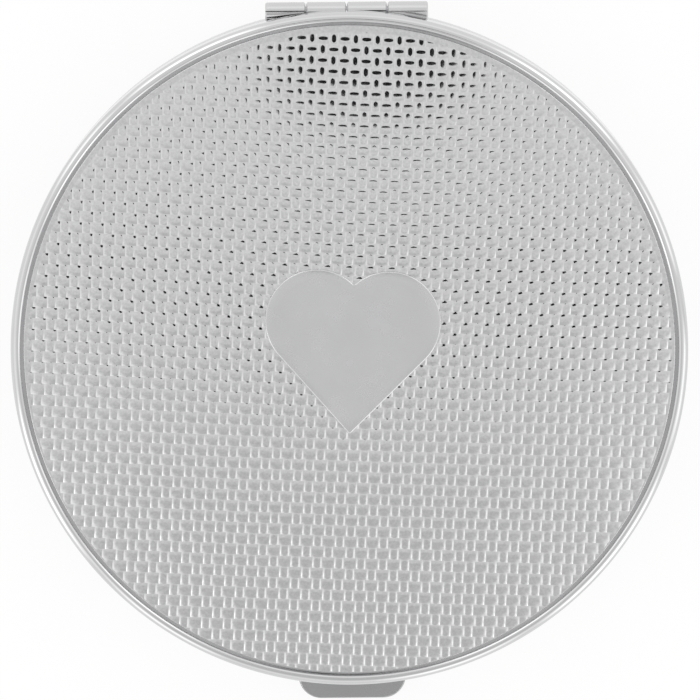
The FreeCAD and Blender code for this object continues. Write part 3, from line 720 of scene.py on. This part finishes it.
def woven_border(corners, rim, sizes):
    """The plain border: a profile carried round the edge of the field, down to the sheet's underside.

    Each edge point gives a row of points, out to the rim of the sheet, round its edge and under it, and
    each row has its own normals.
    """
    reach = np.linalg.norm(corners[rim, :2], axis=1)
    heading = corners[rim, :2] / reach[:, None]
    outer = INSERT_HIGH[0]
    top = INSERT_LOW[2] + sizes.sheet
    edge = np.minimum(sizes.edge, EDGE_SHARE * (outer - reach))
    turn = EDGE_TURN * edge
    profile = (
        (0.5 * (reach + outer - edge), top, 0.0, 1.0), (outer - edge, top, 0.02, 1.0),
        (outer - turn, top - turn, 1.0, 1.0), (outer, top - edge, 1.0, 0.1),
        (outer, INSERT_LOW[2], 1.0, -1.0))
    rows, normals = [], []
    for radius, level, outward, upward in profile:
        ring = heading * np.broadcast_to(radius, reach.shape)[:, None]
        rows.append(np.column_stack([ring, np.broadcast_to(level, reach.shape)]))
        normals.append(np.column_stack([heading * outward, np.full(len(rim), upward)]))
    return np.concatenate(rows), np.concatenate(normals), len(profile)


def rounding(centre, radius, angles):
    """An arc of a profile: its points, and their normals, which point away from its centre."""
    facing = np.column_stack([np.cos(angles), np.sin(angles)])
    return np.column_stack([np.array(centre) + radius * facing, facing])


def lid_profile(sizes):
    """Rings of the lid's pan away from the hinge, and the normals at both ends of the band over each ring.

    The outline runs down the inner wall, over the bevelled seam, up the side, which is an arc below the
    widest ring, over the two roundings of the rim, and through the gutter to the seat of the insert.
    """
    radius, crest, low, seat = LID_HIGH[0], LID_HIGH[2], LID_LOW[2], INSERT_LOW[2]
    wall, inner = radius - sizes.wall, INSERT_HIGH[0] + INSERT_PLAY
    hub, top = radius - sizes.side, radius - sizes.shoulder
    foot = top - sizes.roll
    rise = np.array([low + sizes.bevel, sizes.bay_top, 0.5 * (sizes.bay_top + sizes.belly), sizes.belly])
    lean = (rise - sizes.belly) / sizes.side
    swell = np.sqrt(1.0 - lean ** 2)
    lip = hub + sizes.side * swell[0]
    out = np.linspace(0.0, 0.5 * pi, SHOULDER_RINGS)
    back = np.linspace(0.5 * pi, pi, ROLL_RINGS)
    slope = np.array([sizes.gutter, 0.5 * (foot - inner)])
    slope /= np.hypot(*slope)
    ledge = seat + sizes.ledge
    trough = (0.5 * (foot + inner), ledge - sizes.gutter)
    runs = [
        [(wall, seat - sizes.floor, -1, 0), (wall, sizes.leaf_top, -1, 0), (wall, low, -1, 0)],
        [(wall, low, 0, -1), (lip - sizes.bevel, low, 0, -1)],
        [(lip - sizes.bevel, low, 1, -1), (lip, low + sizes.bevel, 1, -1)],
        np.column_stack([hub + sizes.side * swell, rise, swell, lean]),
        [(radius, sizes.belly, 1, 0), (radius, crest - sizes.shoulder, 1, 0)],
        rounding((top, crest - sizes.shoulder), sizes.shoulder, out),
        rounding((top, crest - sizes.roll), sizes.roll, back),
        [(foot, crest - sizes.roll, -1, 0), (foot, ledge, -1, 0)],
        [(foot, ledge, -slope[0], slope[1]), (*trough, -slope[0], slope[1])],
        [(*trough, slope[0], slope[1]), (inner, ledge, slope[0], slope[1])],
        [(inner, ledge, -1, 0), (inner, seat, -1, 0)],
    ]
    runs = [np.array(run, dtype=float) for run in runs]
    rings = np.concatenate([runs[0][:1, :2], *(run[1:, :2] for run in runs)])
    starts = np.concatenate([run[:-1, 2:] for run in runs])
    ends = np.concatenate([run[1:, 2:] for run in runs])
    return rings, starts, ends


def notch_places(rings, sizes):
    """Places of the rings in a strip at the hinge, on straight columns across it.

    Rings 0 and 1 stand on the chord of the wall, rings 2 and 3 on the bay, and ring 4 half way from the bay
    to the side. Rings 1 and 2 lie at the leaf's seat, and rings 3 and 4 at the top of the bay.
    """
    across = np.linspace(sizes.notch_half, -sizes.notch_half, NOTCH_COLUMNS)
    behind = np.sqrt(rings[:, :1] ** 2 - across ** 2)
    place = np.stack(np.broadcast_arrays(across, behind, rings[:, 1:]), axis=-1).copy()
    place[:2, :, 1] = np.sqrt(rings[0, 0] ** 2 - sizes.notch_half ** 2)
    place[2:4, :, 1] = sizes.bay
    place[4, :, 1] = 0.5 * (sizes.bay + place[5, :, 1])
    place[1:3, :, 2] = sizes.leaf_top
    place[3:5, :, 2] = sizes.bay_top
    return place


def lid_pan(sizes):
    """The lid's pan: corners, faces and the normals of the faces' corners.

    Each ring of the profile is a circle round the lid's axis. In a strip at the hinge, the rings below the
    side leave their circles for the straight walls of the notch and its bay, and the notch's ends are faces
    too. A fan closes the pan below and another above, under the insert.
    """
    rings, starts, ends = lid_profile(sizes)
    radius, level = rings[:, :1], rings[:, 1:]
    start = np.arcsin(sizes.notch_half / radius)
    angle = 0.5 * pi + start + np.linspace(0.0, 1.0, PAN_COLUMNS) * (2.0 * pi - 2.0 * start)
    turned = np.stack(np.broadcast_arrays(radius * np.cos(angle), radius * np.sin(angle), level), axis=-1)
    place = np.concatenate([notch_places(rings, sizes), turned], axis=1)
    columns = place.shape[1]
    number = np.arange(len(rings) * columns).reshape(len(rings), columns)
    joined = [0, 1, *range(NOTCH_RINGS, len(rings))]
    number[joined, NOTCH_COLUMNS] = number[joined, NOTCH_COLUMNS - 1]
    number[joined, -1] = number[joined, 0]
    follow = np.roll(number, -1, axis=1)
    quads = np.stack([number[:-1], follow[:-1], follow[1:], number[1:]], axis=-1)
    heading = place[..., :2] / np.linalg.norm(place[..., :2], axis=-1, keepdims=True)
    tall = np.ones_like(heading[:-1, :, :1])
    lower = np.concatenate([heading[:-1] * starts[:, None, :1], tall * starts[:, None, 1:]], axis=-1)
    upper = np.concatenate([heading[1:] * ends[:, None, :1], tall * ends[:, None, 1:]], axis=-1)
    shading = np.stack([lower, np.roll(lower, -1, axis=1), np.roll(upper, -1, axis=1), upper], axis=2)
    points = place.reshape(-1, 3)
    corner = points[quads]
    flat = np.cross(corner[:, :, 2] - corner[:, :, 0], corner[:, :, 3] - corner[:, :, 1])
    shading[:NOTCH_RINGS, :NOTCH_COLUMNS] = flat[:NOTCH_RINGS, :NOTCH_COLUMNS, None]
    seams = [NOTCH_COLUMNS - 1, columns - 1]
    whole = np.delete(np.arange(columns), seams)
    walls = [list(dict.fromkeys(face)) for face in quads[1:NOTCH_RINGS, seams].reshape(-1, 4).tolist()]
    wall_sides = np.concatenate([np.sign(-points[face, 0]) for face in walls])
    everything = np.concatenate([points, [[0.0, 0.0, rings[0, 1]], [0.0, 0.0, rings[-1, 1]]]])
    hubs = np.tile([[len(points)], [len(points) + 1]], len(whole))
    under = np.stack([follow[0, whole], number[0, whole], hubs[0]], axis=1)
    over = np.stack([number[-1, whole], follow[-1, whole], hubs[1]], axis=1)
    faces = quads[:, whole].reshape(-1, 4).tolist() + under.tolist() + over.tolist() + walls
    normals = np.concatenate([
        shading[:, whole].reshape(-1, 3), np.tile([0.0, 0.0, -1.0], (under.size, 1)),
        np.tile([0.0, 0.0, 1.0], (over.size, 1)), np.outer(wall_sides, [1.0, 0.0, 0.0])])
    used = np.unique(np.concatenate([group.ravel() for group in (quads, under, over)]))
    label = np.zeros(len(everything), dtype=np.int64)
    label[used] = np.arange(len(used))
    return everything[used], [label[face].tolist() for face in faces], normals


def leaf_spring(sheet):
    """The bowed leaf spring: corners, faces and the normals of the faces' corners.

    A strip of set thickness follows an arc from its two ends on the keeper to its middle. The arc's chord and
    rise come from the spring's box. Rows run along the arc, one for each edge of the strip.
    """
    half, rise = SPRING_HIGH[0], SPRING_HIGH[1] - SPRING_LOW[1] - sheet
    radius = (half ** 2 + rise ** 2) / (2.0 * rise)
    across = np.linspace(-half, half, SPRING_ROWS)
    behind = SPRING_HIGH[1] - (np.sqrt(radius ** 2 - across ** 2) - (radius - rise))
    edges = ((0.0, SPRING_LOW[2]), (sheet, SPRING_LOW[2]), (sheet, SPRING_HIGH[2]), (0.0, SPRING_HIGH[2]))
    rows = [np.column_stack([across, behind - deep, np.full(SPRING_ROWS, level)]) for deep, level in edges]
    corners = np.stack(rows, axis=1).reshape(-1, 3)
    number = np.arange(len(corners)).reshape(SPRING_ROWS, len(edges))
    turned = np.roll(number, -1, axis=1)
    sides = np.stack([number[:-1], number[1:], turned[1:], turned[:-1]], axis=-1)
    faces = np.concatenate([sides.reshape(-1, 4), number[:1], number[-1:, ::-1]])
    held = corners[faces]
    normals = np.cross(held[:, 2] - held[:, 0], held[:, 3] - held[:, 1])
    return corners, faces.tolist(), np.repeat(normals, 4, axis=0)


class COMPACT_OT_woven_insert(bpy.types.Operator):
    """Make the domed insert with its struck basket weave"""

    bl_idname = "compact.woven_insert"
    bl_label = "Woven insert"

    def execute(self, context):
        """Weaves the field, adds its border and closes the sheet below."""
        sizes = settings().weave
        heart = heart_outline(settings().heart)
        corners, faces, shading, relief = woven_field(sizes, heart)
        edges = open_edges(np.concatenate([edge_pairs(group) for group in faces]))
        rim = np.unique(edges)
        rows, row_normals, depth = woven_border(corners, rim, sizes)
        count = len(corners)
        starts, ends = np.searchsorted(rim, edges[:, 0]), np.searchsorted(rim, edges[:, 1])
        rings = [edges] + [np.stack([starts, ends], axis=1) + count + k * len(rim) for k in range(depth)]
        bands = np.concatenate([np.stack([inner[:, 0], outer[:, 0], outer[:, 1], inner[:, 1]], axis=1)
                                for inner, outer in zip(rings, rings[1:])])
        middle = np.full(len(edges), count + len(rows))
        closing = np.stack([rings[-1][:, 0], middle, rings[-1][:, 1]], axis=1)
        everything = np.concatenate([corners, rows, [[0.0, 0.0, INSERT_LOW[2]]]])
        upward = np.tile([0.0, 0.0, 1.0], (count, 1))
        point_normals = np.concatenate([upward, row_normals, [[0.0, 0.0, -1.0]]])
        shading = np.concatenate([shading, point_normals[bands.ravel()], point_normals[closing.ravel()]])
        level = np.concatenate([relief, np.full(len(rows) + 1, BORDER_RELIEF)])
        polygons = [face for group in (*faces, bands, closing) for face in group.tolist()]
        finish = struck_metal("struck_silver", settings().finishes.crown, settings().finishes.valley)
        add_piece("insert_weave", everything, polygons, finish,
                  "lid", "woven_insert", shading, level)
        return {"FINISHED"}


class COMPACT_OT_heart(bpy.types.Operator):
    """Make the plain heart with its rounded edge"""

    bl_idname = "compact.heart"
    bl_label = "Heart"

    def execute(self, context):
        """Makes the plate and gives it a satin finish with faint upright hairlines."""
        corners, faces = heart_plate(settings().heart)
        finish = plated_metal("satin_heart", settings().finishes.silver, smooth=0.20, rough=0.30,
                              haze=200.0, hairline=0.05, stretch=(1.0, 0.04, 1.0))
        add_piece("heart_plate", corners, faces, finish, "lid", "heart_plaque")
        return {"FINISHED"}


class COMPACT_OT_lid_pan(bpy.types.Operator):
    """Make the lid's pan with its rounded rim and gutter"""

    bl_idname = "compact.lid_pan"
    bl_label = "Lid pan"

    def execute(self, context):
        """Turns the profile round the lid and leaves the hinge notch open."""
        corners, faces, shading = lid_pan(settings().lid)
        finish = plated_metal("rim_silver", settings().finishes.silver, smooth=0.05, rough=0.10)
        add_piece("lid_pan", corners, faces, finish, "lid", "lid_shell", shading)
        return {"FINISHED"}


class COMPACT_OT_shells(bpy.types.Operator):
    """Finish the base shell, the bezels and the pads"""

    bl_idname = "compact.shells"
    bl_label = "Base shell and bezels"

    def execute(self, context):
        """Polished plating outside, satin plating on the bezels, foam pads."""
        finishes = settings().finishes
        dress(["base_shell"], plated_metal("polished_silver", finishes.silver, smooth=0.05, rough=0.10))
        satin = plated_metal("bezel_silver", finishes.silver, smooth=0.14, rough=0.22)
        dress(["base_bezel", "lid_bezel"], satin)
        dress(["insert_pad", "base_mirror_pad", "lid_mirror_pad"], pad_foam("pad_foam", finishes.foam))
        return {"FINISHED"}


class COMPACT_OT_hinge(bpy.types.Operator):
    """Finish the hinge leaves and their pin"""

    bl_idname = "compact.hinge"
    bl_label = "Hinge"

    def execute(self, context):
        """Rolled plated leaves on a steel pin."""
        finishes = settings().finishes
        plating = plated_metal("hinge_silver", finishes.silver, smooth=0.10, rough=0.18)
        dress(["base_hinge_leaf", "lid_hinge_leaf"], plating)
        dress(["hinge_pin"], plated_metal("pin_steel", finishes.steel, smooth=0.18, rough=0.28))
        return {"FINISHED"}


class COMPACT_OT_latch(bpy.types.Operator):
    """Finish the push tab and the steel parts of its latch"""

    bl_idname = "compact.latch"
    bl_label = "Push latch"

    def execute(self, context):
        """Satin tab, steel hook, strike and keeper, and the bowed leaf spring."""
        finishes = settings().finishes
        # Painted shade: the tab's darker colour stands for the shade under the lid's rim.
        dress(["push_tab"], plated_metal("tab_satin_painted_shade", finishes.tab, smooth=0.20, rough=0.30))
        steel = plated_metal("latch_steel", finishes.steel, smooth=0.22, rough=0.34)
        dress(["catch_hook", "lid_strike", "latch_keeper"], steel)
        corners, faces, shading = leaf_spring(SPRING_SHEET)
        spring = add_piece("tab_spring", corners, faces, steel, "base", "latch_spring", shading)
        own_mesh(spring)
        return {"FINISHED"}


class COMPACT_OT_mirrors(bpy.types.Operator):
    """Finish the two mirrors"""

    bl_idname = "compact.mirrors"
    bl_label = "Mirrors"

    def execute(self, context):
        """Silvered glass on both."""
        dress(["base_mirror", "lid_mirror"], mirror_glass("mirror_glass", settings().finishes.glass))
        return {"FINISHED"}


def add_floor(colour):
    """A pale floor that shows white to the eye and in reflections, and keeps a faint shadow."""
    corners = FLOOR_HALF * np.array([(-1.0, -1.0, 0.0), (1.0, -1.0, 0.0), (1.0, 1.0, 0.0), (-1.0, 1.0, 0.0)])
    corners[:, 2] = -FLOOR_GAP
    mesh = bpy.data.meshes.new("floor")
    mesh.from_pydata(corners, [], [(0, 1, 2, 3)])
    made, tree, place = start_material("floor_paper")
    grain = noise(tree, place, scale=300.0)
    shade = tint(tree, spread(tree, grain, 0.0, 1.0), darker(colour, share=0.99), colour)
    paper = put(tree, "ShaderNodeBsdfDiffuse", {"Color": shade})
    white = put(tree, "ShaderNodeEmission", {"Color": (1.0, 1.0, 1.0, 1.0), "Strength": 1.0})
    path = put(tree, "ShaderNodeLightPath").outputs
    seen = calc(tree, "MAXIMUM", path["Is Camera Ray"], path["Is Glossy Ray"])
    seen = calc(tree, "MAXIMUM", seen, path["Is Transmission Ray"])
    share = calc(tree, "MULTIPLY", seen, FLOOR_WHITE)
    mixed = put(tree, "ShaderNodeMixShader", {0: share, 1: paper.outputs[0], 2: white.outputs[0]})
    end_material(tree, mixed)
    mesh.materials.append(made)
    floor = bpy.data.objects.new("floor", mesh)
    bpy.context.scene.collection.objects.link(floor)


def flat_heading(tree, way):
    """A direction without its upward part, made as long as 1."""
    return aim(tree, "NORMALIZE", aim(tree, "MULTIPLY", way, (1.0, 1.0, 0.0)))


def light_ring(tree, upward, angles, rest=0.0):
    """A ring round the studio by the angle from straight up: 0, rising to 1, then falling to the rest."""
    start, full, fall, end = (cos(radians(angle)) for angle in angles)
    rising = spread(tree, upward, 0.0, 1.0, start, full)
    falling = spread(tree, upward, 1.0, rest, fall, end)
    return calc(tree, "MULTIPLY", rising, falling)


def sky_light(tree, sideways, along, sky):
    """Light overhead: the sky, a little paler towards the hinge, less a dip in front that ends sideways."""
    pale = spread(tree, along, sky, sky + BACK_GAIN, *BACK_SPAN)
    near = spread(tree, along, -DIP_LIGHT, 0.0, *DIP_NEAR)
    far = spread(tree, along, DIP_LIGHT, 0.0, *DIP_FAR)
    narrow = spread(tree, calc(tree, "ABSOLUTE", sideways), 1.0, 0.0, *DIP_SIDES)
    return calc(tree, "MULTIPLY_ADD", calc(tree, "ADD", near, far), narrow, pale)


def panel_light(tree, way):
    """Light in the outer ring: an even part, and each panel by how near the heading is to its own."""
    heading = flat_heading(tree, way)
    light = RING_LIGHT
    for turn, full, none, strength in PANELS:
        facing = (cos(radians(turn)), sin(radians(turn)), 0.0)
        near = aim(tree, "DOT_PRODUCT", heading, facing)
        panel = spread(tree, near, 0.0, strength, cos(radians(none)), cos(radians(full)))
        light = calc(tree, "ADD", panel, light)
    return light


def inner_light(tree, way, along, tilt):
    """Light in the inner ring, by its heading round the direction that the camera's tilt turns to the middle.

    With x and y the heading's parts, one part is x squared, full in front and less behind. The other is x
    cubed times y, which has opposite signs in neighbouring corners, and counts half way from front to back.
    """
    shifted = aim(tree, "ADD", way, (0.0, sin(tilt), 0.0))
    x, y, _ = put(tree, "ShaderNodeSeparateXYZ", {"Vector": flat_heading(tree, shifted)}).outputs
    flank = calc(tree, "POWER", x, 2.0)
    corner = calc(tree, "MULTIPLY", calc(tree, "MULTIPLY", x, y), flank)
    crossed = spread(tree, corner, CROSSED_LIGHT, -CROSSED_LIGHT, -CROSSED_PEAK, CROSSED_PEAK)
    front = spread(tree, along, 1.0, 0.0, *INNER_SPAN)
    beside = calc(tree, "MULTIPLY", front, calc(tree, "SUBTRACT", 1.0, front))
    beside = calc(tree, "MULTIPLY", beside, HALVES_GAIN)
    strokes = spread(tree, front, INNER_SHARE * INNER_LIGHT, INNER_LIGHT, 0.0, 1.0)
    strokes = calc(tree, "MULTIPLY", strokes, flank)
    return calc(tree, "MULTIPLY_ADD", crossed, beside, strokes)


def lens_shade(tree, way, sideways):
    """The share of light at the dark lens, by the distance from its middle, which is drawn out sideways."""
    back = radians(LENS_BACK)
    along = aim(tree, "DOT_PRODUCT", way, (0.0, cos(back), -sin(back)))
    across = calc(tree, "SUBTRACT", sideways, sin(radians(LENS_ASIDE)))
    across = calc(tree, "MULTIPLY", across, LENS_FLATNESS)
    off = put(tree, "ShaderNodeCombineXYZ", {0: across, 1: along}).outputs[0]
    full, none = (sin(radians(angle)) for angle in LENS_ANGLES)
    return spread(tree, aim(tree, "LENGTH", off), LENS_SHADE, 1.0, full, none)


def add_studio(sky, tilt):
    """The studio as a soft field of light: the sky, a ring with panels and an inner ring, less a dark lens."""
    world = bpy.data.worlds.new("studio")
    bpy.context.scene.world = world
    world.use_nodes = True
    tree = world.node_tree
    tree.nodes.clear()
    way = put(tree, "ShaderNodeTexCoord").outputs["Generated"]
    sideways, along, upward = put(tree, "ShaderNodeSeparateXYZ", {"Vector": way}).outputs
    light = sky_light(tree, sideways, along, sky)
    outer = light_ring(tree, upward, RING_ANGLES, RING_REST)
    light = calc(tree, "MULTIPLY_ADD", outer, panel_light(tree, way), light)
    inner = light_ring(tree, upward, INNER_ANGLES)
    light = calc(tree, "MULTIPLY_ADD", inner, inner_light(tree, way, along, tilt), light)
    light = calc(tree, "MULTIPLY", light, lens_shade(tree, way, sideways))
    field = put(tree, "ShaderNodeBackground", {"Color": (1.0, 1.0, 1.0, 1.0), "Strength": light})
    output = put(tree, "ShaderNodeOutputWorld")
    tree.links.new(field.outputs[0], output.inputs["Surface"])


class COMPACT_OT_stage(bpy.types.Operator):
    """Set the floor, the studio light and the camera"""

    bl_idname = "compact.stage"
    bl_label = "Stage"

    def execute(self, context):
        """Places the camera high above the lid, a little towards the hinge, as the picture was taken."""
        sizes = settings().stage
        add_floor(sizes.floor)
        add_studio(sizes.sky, sizes.tilt)
        lens = bpy.data.cameras.new("camera")
        lens.sensor_width = 36.0
        lens.lens = lens.sensor_width * sizes.height / sizes.field
        eye = bpy.data.objects.new("camera", lens)
        off, up = sizes.height * sin(sizes.tilt), sizes.height * cos(sizes.tilt)
        x, y, z = sizes.target
        eye.location = (x - off * sin(sizes.roll), y + off * cos(sizes.roll), z + up)
        eye.rotation_euler = (-sizes.tilt, 0.0, sizes.roll)
        bpy.context.scene.collection.objects.link(eye)
        bpy.context.scene.camera = eye
        bpy.context.scene.view_settings.view_transform = "Standard"
        return {"FINISHED"}


class CompactSettings(bpy.types.PropertyGroup):
    """Everything that a user would change."""

    weave: bpy.props.PointerProperty(type=WeaveSizes, name="Weave", description="Sizes of the woven insert")
    lid: bpy.props.PointerProperty(type=LidSizes, name="Lid", description="Sizes of the lid's pan")
    heart: bpy.props.PointerProperty(type=HeartSizes, name="Heart", description="Sizes of the heart")
    finishes: bpy.props.PointerProperty(type=Finishes, name="Finishes", description="Colours of the finishes")
    stage: bpy.props.PointerProperty(type=StageSizes, name="Stage", description="Camera and light")


OPERATORS = (
    COMPACT_OT_stage, COMPACT_OT_lid_pan, COMPACT_OT_woven_insert, COMPACT_OT_heart, COMPACT_OT_shells,
    COMPACT_OT_hinge, COMPACT_OT_latch, COMPACT_OT_mirrors)


class COMPACT_PT_panel(bpy.types.Panel):
    """Lists the compact's pieces and their sizes"""

    bl_idname = "COMPACT_PT_panel"
    bl_label = "Compact mirror"
    bl_space_type = "VIEW_3D"
    bl_region_type = "UI"
    bl_category = "Compact"

    def draw(self, context):
        """One button for each operator, then the sizes and colours."""
        for kind in OPERATORS:
            self.layout.operator(kind.bl_idname)
        chosen = context.scene.compact
        for group in (chosen.weave, chosen.lid, chosen.heart, chosen.finishes, chosen.stage):
            box = self.layout.box()
            for name in group.__annotations__:
                box.prop(group, name)


CLASSES = (
    WeaveSizes, LidSizes, HeartSizes, Finishes, StageSizes, CompactSettings, *OPERATORS, COMPACT_PT_panel)


def register():
    """Registers the classes and the scene's settings."""
    for kind in CLASSES:
        bpy.utils.register_class(kind)
    bpy.types.Scene.compact = bpy.props.PointerProperty(type=CompactSettings, name="Compact")


def unregister():
    """Removes the settings and the classes."""
    del bpy.types.Scene.compact
    for kind in reversed(CLASSES):
        bpy.utils.unregister_class(kind)


def main():
    """Makes every piece in order."""
    register()
    bpy.ops.compact.stage()
    bpy.ops.compact.lid_pan()
    bpy.ops.compact.woven_insert()
    bpy.ops.compact.heart()
    bpy.ops.compact.shells()
    bpy.ops.compact.hinge()
    bpy.ops.compact.latch()
    bpy.ops.compact.mirrors()


if __name__ == "__main__":
    main()
